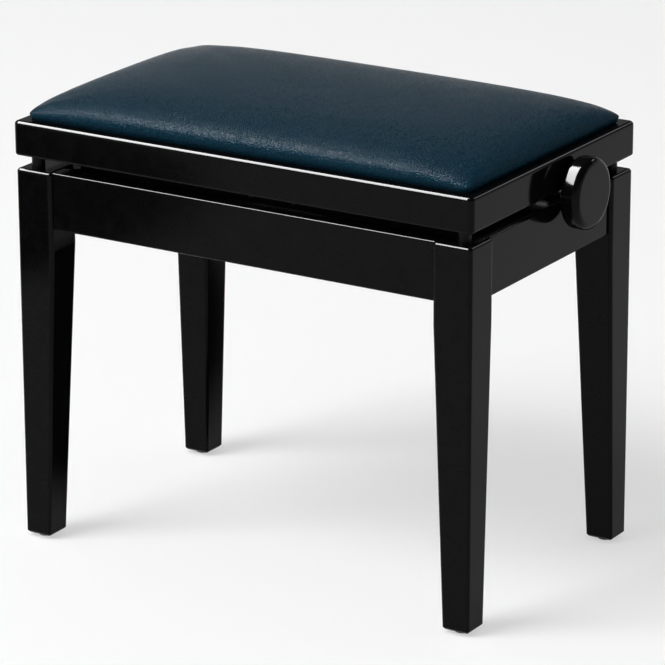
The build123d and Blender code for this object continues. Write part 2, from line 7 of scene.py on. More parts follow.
import json
import logging
import math
from collections.abc import Sequence
from dataclasses import dataclass
from enum import Enum

import bmesh
import bpy
from mathutils import Matrix, Quaternion, Vector

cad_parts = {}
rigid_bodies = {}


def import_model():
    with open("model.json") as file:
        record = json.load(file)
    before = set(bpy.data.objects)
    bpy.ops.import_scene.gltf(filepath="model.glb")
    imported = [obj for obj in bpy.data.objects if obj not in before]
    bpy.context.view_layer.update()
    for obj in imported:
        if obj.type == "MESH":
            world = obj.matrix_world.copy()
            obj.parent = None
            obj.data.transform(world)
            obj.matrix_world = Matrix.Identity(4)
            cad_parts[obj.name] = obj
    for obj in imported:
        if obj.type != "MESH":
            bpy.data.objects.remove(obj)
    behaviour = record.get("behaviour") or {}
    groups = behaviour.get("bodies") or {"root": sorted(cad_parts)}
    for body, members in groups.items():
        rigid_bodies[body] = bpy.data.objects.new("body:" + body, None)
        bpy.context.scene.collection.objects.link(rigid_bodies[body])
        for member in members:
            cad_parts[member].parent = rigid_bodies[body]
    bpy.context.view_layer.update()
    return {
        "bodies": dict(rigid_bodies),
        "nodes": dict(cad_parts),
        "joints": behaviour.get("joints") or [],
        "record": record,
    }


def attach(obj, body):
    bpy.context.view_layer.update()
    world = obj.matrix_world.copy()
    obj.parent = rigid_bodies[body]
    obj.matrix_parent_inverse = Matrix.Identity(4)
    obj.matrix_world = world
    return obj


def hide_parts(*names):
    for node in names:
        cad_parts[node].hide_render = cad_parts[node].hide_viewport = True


log = logging.getLogger("piano_stool")

Colour = tuple[float, float, float]
Point = tuple[float, float, float]
Rings = Sequence[tuple[float, float]]
Socket = bpy.types.NodeSocket
Group = bpy.types.NodeTree
Material = bpy.types.Material
Piece = bpy.types.Object
Mesh = bpy.types.Mesh
Work = bmesh.types.BMesh

FLOAT = "NodeSocketFloat"
VECTOR = "NodeSocketVector"
COLOUR = "NodeSocketColor"
MATERIAL = "NodeSocketMaterial"
GEOMETRY = "NodeSocketGeometry"
SHADER = "ShaderNodeTree"
NOISE = "ShaderNodeTexNoise"
RANGE = "ShaderNodeMapRange"
VECTOR_MATH = "ShaderNodeVectorMath"

# Socket numbers of the Mix node when it mixes colours.
MIX_FIRST = 6
MIX_SECOND = 7
MIX_RESULT = 2

TINY = 1e-6
SIDES = (-1, 1)
CORNERS = [(x, y) for x in SIDES for y in SIDES]


class Grain(Enum):
    """The direction in which a wooden piece's grain runs, as stretch along X, Y and Z."""

    ALONG_X = (0.06, 1.0, 1.0)
    ALONG_Y = (1.0, 0.06, 1.0)


class Hand(Enum):
    """The hand of a screw thread."""

    RIGHT = False
    LEFT = True


class Tree:
    """A node tree with short ways to add and join its nodes."""

    def __init__(self, nodes: Group) -> None:
        """Starts from an empty tree."""
        self.tree = nodes
        self.tree.nodes.clear()

    @classmethod
    def group(cls, kind: str, name: str, inputs: dict[str, str], outputs: dict[str, str]) -> tuple:
        """Makes an empty node group.

        Args:
            kind: the group's type name.
            name: its name.
            inputs: socket type by input name.
            outputs: socket type by output name.

        Returns:
            The tree, what comes in, what goes out, and each input's identifier by name.
        """
        nodes = bpy.data.node_groups.new(name, kind)
        keys = {}
        for label, socket in inputs.items():
            made = nodes.interface.new_socket(label, in_out="INPUT", socket_type=socket)
            keys[label] = made.identifier
        for label, socket in outputs.items():
            nodes.interface.new_socket(label, in_out="OUTPUT", socket_type=socket)
        tree = cls(nodes)
        return tree, tree.add("NodeGroupInput").outputs, tree.add("NodeGroupOutput").inputs, keys

    def add(self, kind: str, values: dict | None = None, **settings: object) -> bpy.types.Node:
        """Adds a node.

        Args:
            kind: the node's type name.
            values: a value, or a socket to join, by input name or number.
            settings: properties of the node itself.

        Returns:
            The new node.
        """
        node = self.tree.nodes.new(kind)
        for name, value in settings.items():
            setattr(node, name, value)
        for name, value in (values or {}).items():
            self.feed(node.inputs[name], value)
        return node

    def feed(self, target: Socket, value: object) -> None:
        """Gives an input its value, or joins it to an output.

        Args:
            target: the input.
            value: a plain value or an output's socket.
        """
        if isinstance(value, Socket):
            self.tree.links.new(value, target)
        else:
            target.default_value = value

    def math(self, operation: str, first: object, second: object) -> Socket:
        """Adds a math node on two sockets or numbers and gives its result."""
        return self.add("ShaderNodeMath", {0: first, 1: second}, operation=operation).outputs[0]


class EffectGroups:
    """Shader node groups that several finishes share, each built once."""

    def __init__(self) -> None:
        """Builds every group."""
        self.drift = self._drift()
        self.pebble = self._pebble()
        self.figure = self._figure()

    @staticmethod
    def _drift() -> Group:
        """A value that wanders slowly over a surface between a low and a high.

        Returns:
            The group, which gives the value and the mask behind it.
        """
        inputs = {"Vector": VECTOR, "Scale": FLOAT, "Low": FLOAT, "High": FLOAT}
        outputs = {"Value": FLOAT, "Mask": FLOAT}
        tree, start, end, _ = Tree.group(SHADER, "surface_drift", inputs, outputs)
        place = {"Vector": start["Vector"], "Scale": start["Scale"]}
        mask = tree.add(NOISE, {**place, "Detail": 4.0, "Roughness": 0.6}).outputs[0]
        bounds = {"To Min": start["Low"], "To Max": start["High"]}
        ramp = tree.add(RANGE, {"Value": mask, "From Min": 0.3, "From Max": 0.7, **bounds})
        tree.feed(end["Value"], ramp.outputs[0])
        tree.feed(end["Mask"], mask)
        return tree.tree

    @staticmethod
    def _pebble() -> Group:
        """A pebbled surface: rounded cells with creases between them and a fine tooth.

        Returns:
            The group, which gives the height and the creases.
        """
        inputs = {"Vector": VECTOR, "Cells": FLOAT, "Tooth": FLOAT}
        outputs = {"Height": FLOAT, "Crease": FLOAT}
        tree, start, end, _ = Tree.group(SHADER, "pebble_grain", inputs, outputs)
        place, cells = start["Vector"], start["Cells"]
        warp_share, tooth_ratio = 0.8, 2.3
        warp = tree.add(NOISE, {"Vector": place, "Scale": cells, "Detail": 2.0}).outputs["Color"]
        shift = {0: warp, "Scale": tree.math("DIVIDE", warp_share, cells)}
        spread = tree.add(VECTOR_MATH, shift, operation="SCALE").outputs[0]
        moved = tree.add(VECTOR_MATH, {0: place, 1: spread}, operation="ADD").outputs[0]
        net = {"Vector": moved, "Scale": cells}
        edge = tree.add("ShaderNodeTexVoronoi", net, feature="DISTANCE_TO_EDGE").outputs["Distance"]
        rise = {"Value": edge, "From Max": 0.35}
        dome = tree.add(RANGE, rise, interpolation_type="SMOOTHSTEP").outputs[0]
        tooth_scale = tree.math("MULTIPLY", cells, tooth_ratio)
        tooth = tree.add(NOISE, {"Vector": place, "Scale": tooth_scale, "Detail": 3.0}).outputs[0]
        fine = tree.math("MULTIPLY", tooth, start["Tooth"])
        tree.feed(end["Height"], tree.math("ADD", dome, fine))
        tree.feed(end["Crease"], tree.math("SUBTRACT", 1.0, dome))
        return tree.tree

    @staticmethod
    def _figure() -> Group:
        """The figure of planed wood: long growth bands with short dark pores.

        Returns:
            The group, which gives the colour and the height.
        """
        inputs = {"Vector": VECTOR, "Light": COLOUR, "Dark": COLOUR}
        outputs = {"Color": COLOUR, "Height": FLOAT}
        tree, start, end, _ = Tree.group(SHADER, "wood_figure", inputs, outputs)
        place = {"Vector": start["Vector"]}
        pore_share = 0.5
        bands = tree.add(NOISE, {**place, "Scale": 55.0, "Detail": 5.0, "Roughness": 0.55}).outputs[0]
        pores = tree.add(NOISE, {**place, "Scale": 900.0, "Detail": 2.0}).outputs[0]
        band = tree.add(RANGE, {"Value": bands, "From Min": 0.35, "From Max": 0.65}).outputs[0]
        pore = tree.add(RANGE, {"Value": pores, "From Min": 0.56, "From Max": 0.68}).outputs[0]
        dark = tree.math("MAXIMUM", band, tree.math("MULTIPLY", pore, pore_share))
        values = {"Factor": dark, MIX_FIRST: start["Light"], MIX_SECOND: start["Dark"]}
        mix = tree.add("ShaderNodeMix", values, data_type="RGBA")
        tree.feed(end["Color"], mix.outputs[MIX_RESULT])
        tree.feed(end["Height"], tree.math("SUBTRACT", 1.0, pore))
        return tree.tree


class Surface:
    """A material in the making: its tree, its shader and the piece's own coordinates."""

    def __init__(self, name: str) -> None:
        """Starts a material with one shader.

        Args:
            name: the material's name.
        """
        self.material = bpy.data.materials.new(name)
        self.material.use_nodes = True
        self.tree = Tree(self.material.node_tree)
        self.shader = self.tree.add("ShaderNodeBsdfPrincipled")
        self.tree.add("ShaderNodeOutputMaterial", {"Surface": self.shader.outputs[0]})
        self.place = self.tree.add("ShaderNodeTexCoord").outputs["Object"]

    def feed(self, name: str, value: object) -> None:
        """Gives one of the shader's inputs a value or a socket."""
        self.tree.feed(self.shader.inputs[name], value)

    def effect(self, group: Group, values: dict[str, object]) -> bpy.types.NodeOutputs:
        """Lays a shared group over the piece and gives its outputs."""
        inputs = {"Vector": self.place, **values}
        return self.tree.add("ShaderNodeGroup", inputs, node_tree=group).outputs

    def bump(self, height: Socket, strength: float, depth: float) -> None:
        """Lets a height tilt the surface, by a share of a relief's depth."""
        values = {"Strength": strength, "Distance": depth, "Height": height}
        self.feed("Normal", self.tree.add("ShaderNodeBump", values).outputs[0])

    def tint(self, mask: Socket, main: Colour, other: Colour) -> None:
        """Blends the main colour to another by a mask.

        Args:
            mask: where the other colour shows.
            main: the main colour.
            other: the other colour.
        """
        values = {"Factor": mask, MIX_FIRST: (*main, 1.0), MIX_SECOND: (*other, 1.0)}
        mix = self.tree.add("ShaderNodeMix", values, data_type="RGBA")
        self.feed("Base Color", mix.outputs[MIX_RESULT])


@dataclass(frozen=True)
class Finish:
    """What all finishes share: a colour and a gloss that wanders."""

    name: str
    colour: Colour
    rough_low: float
    rough_high: float
    drift_scale: float = 30.0
    metallic: float = 0.0
    specular: float = 0.5

    def build(self, effects: EffectGroups) -> Material:
        """Makes the material.

        Args:
            effects: the shared groups.

        Returns:
            The material.
        """
        surface = Surface(self.name)
        surface.feed("Base Color", (*self.colour, 1.0))
        surface.feed("Metallic", self.metallic)
        surface.feed("Specular IOR Level", self.specular)
        gloss = {"Scale": self.drift_scale, "Low": self.rough_low, "High": self.rough_high}
        surface.feed("Roughness", surface.effect(effects.drift, gloss)["Value"])
        self.detail(surface, effects)
        return surface.material

    def detail(self, surface: Surface, effects: EffectGroups) -> None:
        """Adds what sets one finish apart from the others."""
        raise NotImplementedError


@dataclass(frozen=True)
class LacquerFinish(Finish):
    """Polished black lacquer with a faint waviness and a trace of haze."""

    wave_scale: float = 60.0
    wave_depth: float = 0.00004
    haze: Colour = (0.004, 0.004, 0.0045)

    def detail(self, surface: Surface, effects: EffectGroups) -> None:
        """Adds the waves and the haze.

        Args:
            surface: the material in the making.
            effects: the shared groups.
        """
        wave = surface.effect(effects.drift, {"Scale": self.wave_scale})["Mask"]
        surface.bump(wave, 1.0, self.wave_depth)
        surface.tint(wave, self.colour, self.haze)


@dataclass(frozen=True)
class PebbledFinish(Finish):
    """A surface embossed or moulded with small cells, of another colour in the creases; on the leatherette
    that colour is darker, a painted shade in the creases.

    Its cells are counted per metre.
    """

    cells: float = 400.0
    tooth: float = 0.08
    strength: float = 0.8
    relief: float = 0.00042
    # Colour laid into the creases: on the leatherette a darker painted shade, on the moulded finishes a
    # lighter tone of their own.
    crease: Colour = (0.0033, 0.017, 0.029)

    def detail(self, surface: Surface, effects: EffectGroups) -> None:
        """Adds the cells.

        Args:
            surface: the material in the making.
            effects: the shared groups.
        """
        pebble = surface.effect(effects.pebble, {"Cells": self.cells, "Tooth": self.tooth})
        surface.bump(pebble["Height"], self.strength, self.relief)
        # Blends the crease colour into the creases, which on the leatherette paints shade there.
        surface.tint(pebble["Crease"], self.colour, self.crease)


@dataclass(frozen=True)
class MouldedFinish(PebbledFinish):
    """Moulded rubber or nylon with a fine spark-eroded texture."""

    cells: float = 1800.0
    tooth: float = 0.25
    strength: float = 0.5
    relief: float = 0.00008


@dataclass(frozen=True)
class WoodFinish(Finish):
    """Planed wood, stained black and left without lacquer."""

    dark: Colour = (0.005, 0.004, 0.004)
    grain: Grain = Grain.ALONG_X
    strength: float = 0.4
    relief: float = 0.0001

    def detail(self, surface: Surface, effects: EffectGroups) -> None:
        """Adds the wood's figure.

        Args:
            surface: the material in the making.
            effects: the shared groups.
        """
        scale = {"Scale": self.grain.value, "Vector": surface.place}
        stretch = surface.tree.add("ShaderNodeMapping", scale)
        shades = {"Light": (*self.colour, 1.0), "Dark": (*self.dark, 1.0)}
        figure = surface.effect(effects.figure, {"Vector": stretch.outputs[0], **shades})
        surface.feed("Base Color", figure["Color"])
        surface.bump(figure["Height"], self.strength, self.relief)


@dataclass(frozen=True)
class MetalFinish(Finish):
    """Plated, painted or bare metal with a clouded colour and a fine tooth."""

    cloud: Colour = (0.5, 0.5, 0.48)
    cloud_scale: float = 120.0
    tooth_ratio: float = 8.0
    strength: float = 0.6
    tooth_depth: float = 0.00003

    def detail(self, surface: Surface, effects: EffectGroups) -> None:
        """Adds the clouds and the tooth.

        Args:
            surface: the material in the making.
            effects: the shared groups.
        """
        clouds = {"Scale": self.cloud_scale, "Low": 0.0, "High": 1.0}
        surface.tint(surface.effect(effects.drift, clouds)["Value"], self.colour, self.cloud)
        tooth = surface.effect(effects.drift, {"Scale": self.cloud_scale * self.tooth_ratio})
        surface.bump(tooth["Mask"], self.strength, self.tooth_depth)


class Palette:
    """Every finish of the stool, and the nodes that wear it."""

    def __init__(self) -> None:
        """Builds the shared groups and the materials."""
        effects = EffectGroups()
        black = (0.0008, 0.0008, 0.0009)
        stain = (0.012, 0.010, 0.009)
        board = (0.016, 0.013, 0.011)
        finishes = (
            LacquerFinish("black_lacquer", black, 0.06, 0.1, 14.0, specular=0.07),
            LacquerFinish("knob_lacquer", black, 0.08, 0.13, 40.0, specular=0.07),
            PebbledFinish("navy_leatherette", (0.0074, 0.037, 0.061), 0.19, 0.25, 26.0, specular=0.0095),
            WoodFinish("stained_beech_along_x", stain, 0.5, 0.65, specular=0.25),
            WoodFinish("stained_beech_along_y", stain, 0.5, 0.65, specular=0.25, grain=Grain.ALONG_Y),
            WoodFinish("stained_plywood", board, 0.55, 0.7, dark=(0.008, 0.007, 0.006), specular=0.25),
            MetalFinish("painted_steel", (0.02, 0.02, 0.022), 0.32, 0.45, 60.0, cloud=(0.03, 0.03, 0.032)),
            MetalFinish("zinc_steel", (0.62, 0.62, 0.60), 0.24, 0.38, 90.0, 1.0, cloud=(0.50, 0.51, 0.50)),
            MetalFinish("turned_brass", (0.78, 0.58, 0.26), 0.2, 0.34, 90.0, 1.0, cloud=(0.62, 0.44, 0.18)),
            MouldedFinish("black_rubber", (0.002,) * 3, 0.22, 0.3, 80.0, specular=0.1, crease=(0.004,) * 3),
            MouldedFinish("dark_nylon", (0.02,) * 3, 0.4, 0.55, 80.0, crease=(0.035,) * 3),
        )
        self.materials = {finish.name: finish.build(effects) for finish in finishes}

    def __getitem__(self, name: str) -> Material:
        """The material of that name."""
        return self.materials[name]

    @staticmethod
    def wears(node: str) -> str:
        """Picks a CAD node's finish.

        Args:
            node: the node's name.

        Returns:
            The finish's name.
        """
        single = {
            "batten_left": "stained_beech_along_y",
            "batten_right": "stained_beech_along_y",
            "batten_dowels": "stained_beech_along_y",
            "apron_dowels": "stained_beech_along_x",
            "corner_blocks": "stained_beech_along_x",
            "seat_corner_blocks": "stained_beech_along_x",
            "seat_board": "stained_plywood",
            "seat_bumpers": "black_rubber",
            "foot_glides": "dark_nylon",
            "seat_cover": "navy_leatherette",
            "foam_pad": "navy_leatherette",
        }
        if node in single:
            return single[node]
        if node.startswith(("leg_", "apron_", "seat_rail_")):
            return "black_lacquer"
        if node.endswith("_knob"):
            return "knob_lacquer"
        if node.endswith("_spindle_nut"):
            return "turned_brass"
        if node.endswith(("screws", "nails", "pins", "_rod", "stop_tube", "spindle")):
            return "zinc_steel"
        return "painted_steel"

    def dress(self, nodes: dict[str, Piece]) -> None:
        """Gives every CAD node its finish.

        Args:
            nodes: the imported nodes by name.
        """
        for name, node in nodes.items():
            material = self[self.wears(name)]
            if not node.material_slots:
                node.data.materials.append(material)
            for slot in node.material_slots:
                slot.material = material


class Shop:
    """Ways of making a finished mesh object."""

    @staticmethod
    def place(name: str, mesh: Mesh) -> Piece:
        """Puts a mesh into the scene at the origin.

        Args:
            name: the piece's name.
            mesh: its mesh.

        Returns:
            The object.
        """
        piece = bpy.data.objects.new(name, mesh)
        bpy.context.scene.collection.objects.link(piece)
        return piece

    @staticmethod
    def keep(name: str, work: Work) -> Piece:
        """Turns mesh work into an object in the scene.

        Args:
            name: the piece's name.
            work: the mesh work, which is used up.

        Returns:
            The object.
        """
        mesh = bpy.data.meshes.new(name)
        work.to_mesh(mesh)
        work.free()
        return Shop.place(name, mesh)

    @staticmethod
    def settle(piece: Piece) -> None:
        """Turns a piece's modifiers into plain mesh.

        Args:
            piece: the object to settle.
        """
        bpy.context.view_layer.update()
        graph = bpy.context.evaluated_depsgraph_get()
        mesh = bpy.data.meshes.new_from_object(piece.evaluated_get(graph), depsgraph=graph)
        piece.modifiers.clear()
        piece.data = mesh

    @staticmethod
    def points(name: str, places: list[Point], directions: list[Point]) -> Piece:
        """Makes loose points that each carry a direction.

        Args:
            name: the object's name.
            places: where the points are.
            directions: which way each points.

        Returns:
            The object.
        """
        mesh = bpy.data.meshes.new(name)
        mesh.from_pydata(places, [], [])
        aim = mesh.attributes.new("direction", "FLOAT_VECTOR", "POINT")
        aim.data.foreach_set("vector", [value for direction in directions for value in direction])
        return Shop.place(name, mesh)

    @staticmethod
    def smooth(mesh: Mesh) -> None:
        """Shades a mesh smooth."""
        mesh.polygons.foreach_set("use_smooth", [True] * len(mesh.polygons))

    @staticmethod
    def spin(work: Work, profile: Rings, count: int) -> None:
        """Adds a turned wall about Z, closed at its first ring.

        Args:
            work: the mesh to add to.
            profile: height and radius of each ring.
            count: points in a ring.
        """
        angles = [2 * math.pi * step / count for step in range(count)]
        rings = []
        for height, radius in profile:
            places = [(radius * math.cos(a), radius * math.sin(a), height) for a in angles]
            rings.append([work.verts.new(place) for place in places])
        for lower, upper in zip(rings, rings[1:]):
            for step in range(count):
                after = (step + 1) % count
                work.faces.new((lower[step], lower[after], upper[after], upper[step]))
        work.faces.new(rings[0])


class NodeTools:
    """Geometry node trees for what repeats or follows a path, with their inputs' identifiers."""

    def __init__(self) -> None:
        """Builds the trees."""
        self.scatter = self._scatter()
        self.thread = self._thread()

    @staticmethod
    def _end(tree: Tree, made: Socket, finish: Socket, end: Socket) -> None:
        """Realizes the result and gives it its finish.

        Args:
            tree: the geometry tree.
            made: the geometry so far.
            finish: the material input.
            end: where the geometry goes out.
        """
        tree.tree.is_modifier = True
        real = tree.add("GeometryNodeRealizeInstances", {0: made}).outputs[0]
        dressed = tree.add("GeometryNodeSetMaterial", {"Geometry": real, "Material": finish})
        tree.feed(end, dressed.outputs[0])

    def _scatter(self) -> tuple[Group, dict[str, str]]:
        """A copy of one small part on every point, its Z axis along the point's direction.

        Returns:
            The tree and its inputs' identifiers by name.
        """
        shape = {"Geometry": GEOMETRY}
        inputs = {**shape, "Part": "NodeSocketObject", "Size": FLOAT, "Finish": MATERIAL}
        tree, start, end, keys = Tree.group("GeometryNodeTree", "small_parts", inputs, shape)
        part = tree.add("GeometryNodeObjectInfo", {"As Instance": True, "Object": start["Part"]})
        name = {"Name": "direction"}
        aim = tree.add("GeometryNodeInputNamedAttribute", name, data_type="FLOAT_VECTOR")
        way = {"Vector": aim.outputs["Attribute"]}
        turn = tree.add("FunctionNodeAlignRotationToVector", way, axis="Z")
        values = {
            "Points": start["Geometry"],
            "Instance": part.outputs["Geometry"],
            "Rotation": turn.outputs[0],
            "Scale": start["Size"],
        }
        copies = tree.add("GeometryNodeInstanceOnPoints", values)
        self._end(tree, copies.outputs[0], start["Finish"], end[0])
        return tree.tree, keys

    def _thread(self) -> tuple[Group, dict[str, str]]:
        """A round ridge wound along X at a constant lead.

        Returns:
            The tree and its inputs' identifiers by name.
        """
        shape = {"Geometry": GEOMETRY}
        sizes = {name: FLOAT for name in ("Radius", "Ridge", "Turns", "Length")}
        inputs = {**shape, **sizes, "Left Hand": "NodeSocketBool", "Start": VECTOR, "Finish": MATERIAL}
        tree, start, end, keys = Tree.group("GeometryNodeTree", "screw_thread", inputs, shape)
        values = {
            "Resolution": 28,
            "Rotations": start["Turns"],
            "Start Radius": start["Radius"],
            "End Radius": start["Radius"],
            "Height": start["Length"],
            "Reverse": start["Left Hand"],
        }
        wind = tree.add("GeometryNodeCurveSpiral", values).outputs[0]
        ring = {"Resolution": 8, "Radius": start["Ridge"]}
        section = tree.add("GeometryNodeCurvePrimitiveCircle", ring).outputs[0]
        sweep = {"Fill Caps": True, "Curve": wind, "Profile Curve": section}
        ridge = tree.add("GeometryNodeCurveToMesh", sweep).outputs[0]
        move = {"Geometry": ridge, "Translation": start["Start"], "Rotation": (0.0, math.pi / 2, 0.0)}
        laid = tree.add("GeometryNodeTransform", move).outputs[0]
        self._end(tree, laid, start["Finish"], end[0])
        return tree.tree, keys

    @staticmethod
    def run(piece: Piece, tool: tuple, values: dict[str, object]) -> None:
        """Runs a tree on a piece and keeps the plain mesh.

        Args:
            piece: the object to work on.
            tool: the tree and its inputs' identifiers by name.
            values: input values by name.
        """
        modifier = piece.modifiers.new("make", "NODES")
        modifier.node_group, keys = tool
        for name, value in values.items():
            modifier[keys[name]] = value
        Shop.settle(piece)

    def copy_on(self, piece: Piece, part: Piece, finish: Material) -> None:
        """Puts a copy of one part, in a finish, on each of a piece's points."""
        self.run(piece, self.scatter, {"Part": part, "Size": 1.0, "Finish": finish})


@dataclass
class Cushion:
    """The padded seat: a pillow by formula from the foam's form, then swollen by cloth pressure.

    Lengths and widths are half the pad's in plan, heights are above the seat's rim, and the bow
    and ease powers set how full the dome is towards the ends and the sides.
    """

    weld: float = 1e-5
    voxel: float = 0.0045
    first_relax: int = 5
    last_relax: int = 3
    rim_top: float = 0.460
    foot: float = 0.4515
    half_length: float = 0.2606
    half_width: float = 0.1536
    cover: float = 0.0015
    overhang: float = 0.006
    skirt: float = 0.007
    corner_tuck: float = 0.0045
    corner_power: float = 10.0
    side_height: float = 0.010
    side_slope: float = 0.15
    dome: float = 0.0268
    end_bow: float = 3.6
    end_ease: float = 2.6
    side_bow: float = 2.4
    side_ease: float = 2.8
    quality: int = 6
    stiffness: float = 4.0
    pressure: float = 4.0
    frames: int = 20
    reach: float = 0.0007
    rim_ease: float = 1.5

    @staticmethod
    def relax(piece: Piece, rounds: int) -> None:
        """Adds a smoothing modifier.

        Args:
            piece: the cushion.
            rounds: how often it smooths.
        """
        smoothing = piece.modifiers.new("relax", "SMOOTH")
        smoothing.factor = 0.5
        smoothing.iterations = rounds

    def start(self, pad: Piece) -> Piece:
        """Makes an even mesh of the foam's form.

        Args:
            pad: the CAD foam.

        Returns:
            The cushion before it is shaped.
        """
        work = bmesh.new()
        work.from_mesh(pad.data)
        bmesh.ops.remove_doubles(work, verts=work.verts, dist=self.weld)
        piece = Shop.keep("cushion", work)
        piece.data.materials.clear()
        remesh = piece.modifiers.new("even", "REMESH")
        remesh.mode = "VOXEL"
        remesh.voxel_size = self.voxel
        Shop.settle(piece)
        self.relax(piece, self.first_relax)
        wrap = piece.modifiers.new("wrap", "SHRINKWRAP")
        wrap.target = pad
        wrap.wrap_method = "NEAREST_SURFACEPOINT"
        Shop.settle(piece)
        return piece

    def shape(self, x: float, y: float) -> tuple[float, float]:
        """Works out the pillow's heights above the rim over a place in plan.

        Args:
            x: place along the seat.
            y: place across the seat.

        Returns:
            The heights of the side's widest line, lower at the corners, and of the top.
        """
        end = min(1.0, abs(x) / (self.half_length + self.overhang))
        side = min(1.0, abs(y) / (self.half_width + self.overhang))
        along = (1.0 - end**self.end_bow) ** (1.0 / self.end_ease)
        across = (1.0 - side**self.side_bow) ** (1.0 / self.side_ease)
        edge = self.skirt - self.corner_tuck * (end * side) ** self.corner_power
        return edge, edge + self.dome * along * across

    def fill_out(self, piece: Piece) -> None:
        """Lets the foot down behind the rim and fills the rest out over the rim into a pillow.

        Args:
            piece: the cushion.
        """
        low = min(vertex.co.z for vertex in piece.data.vertices)
        normals = [vertex.normal.copy() for vertex in piece.data.vertices]
        for vertex, normal in zip(piece.data.vertices, normals):
            if vertex.co.z < low + self.voxel / 2:
                vertex.co.z = self.foot
            vertex.co += normal * self.cover
            lift = vertex.co.z - self.rim_top
            if lift <= 0.0:
                continue
            share = min(1.0, lift / self.skirt)
            spread = self.overhang * share * (2.0 - share)
            vertex.co.x *= 1.0 + spread / self.half_length
            vertex.co.y *= 1.0 + spread / self.half_width
            edge, top = self.shape(vertex.co.x, vertex.co.y)
            on_top = normal.z > self.side_slope
            height = top if on_top else edge * min(1.0, lift / self.side_height)
            vertex.co.z = self.rim_top + height

    def swell(self, piece: Piece) -> None:
        """Blows the pad up against its cover and keeps the result.

        Args:
            piece: the cushion.
        """
        held = piece.vertex_groups.new(name="held")
        low = [v.index for v in piece.data.vertices if v.co.z < self.rim_top]
        held.add(low, 1.0, "REPLACE")
        before = [v.co.copy() for v in piece.data.vertices]
        cloth = piece.modifiers.new("swell", "CLOTH")
        cloth.settings.quality = self.quality
        cloth.settings.use_pressure = True
        cloth.settings.uniform_pressure_force = self.pressure
        cloth.settings.effector_weights.gravity = 0.0
        cloth.settings.vertex_group_mass = held.name
        cloth.settings.bending_stiffness = self.stiffness
        cloth.collision_settings.use_collision = False
        cloth.point_cache.frame_start = 1
        cloth.point_cache.frame_end = self.frames
        scene = bpy.context.scene
        for frame in range(1, self.frames + 1):
            scene.frame_set(frame)
        Shop.settle(piece)
        scene.frame_set(1)
        for vertex, start in zip(piece.data.vertices, before):
            step = vertex.co - start
            if step.length > self.reach:
                vertex.co = start + step.normalized() * self.reach

    def keep_in_rim(self, piece: Piece) -> None:
        """Holds the cushion's foot clear of the seat rim.

        Args:
            piece: the cushion.
        """
        for vertex in piece.data.vertices:
            lift = max(0.0, vertex.co.z - self.rim_top)
            give = min(self.rim_ease * lift, self.overhang + self.reach)
            length, width = self.half_length + give, self.half_width + give
            vertex.co.x = max(-length, min(length, vertex.co.x))
            vertex.co.y = max(-width, min(width, vertex.co.y))

    def build(self, nodes: dict[str, Piece], palette: Palette) -> None:
        """Makes the cushion and puts it on the seat.

        Args:
            nodes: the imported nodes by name.
            palette: the finishes.
        """
        piece = self.start(nodes["foam_pad"])
        self.fill_out(piece)
        self.swell(piece)
        self.relax(piece, self.last_relax)
        finer = piece.modifiers.new("finer", "SUBSURF")
        finer.levels = 1
        finer.render_levels = 1
        Shop.settle(piece)
        self.keep_in_rim(piece)
        piece.vertex_groups.clear()
        piece.data.materials.clear()
        piece.data.materials.append(palette["navy_leatherette"])
        Shop.smooth(piece.data)
        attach(piece, "seat")
        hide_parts("seat_cover", "foam_pad")
        log.info("cushion: %d faces", len(piece.data.polygons))


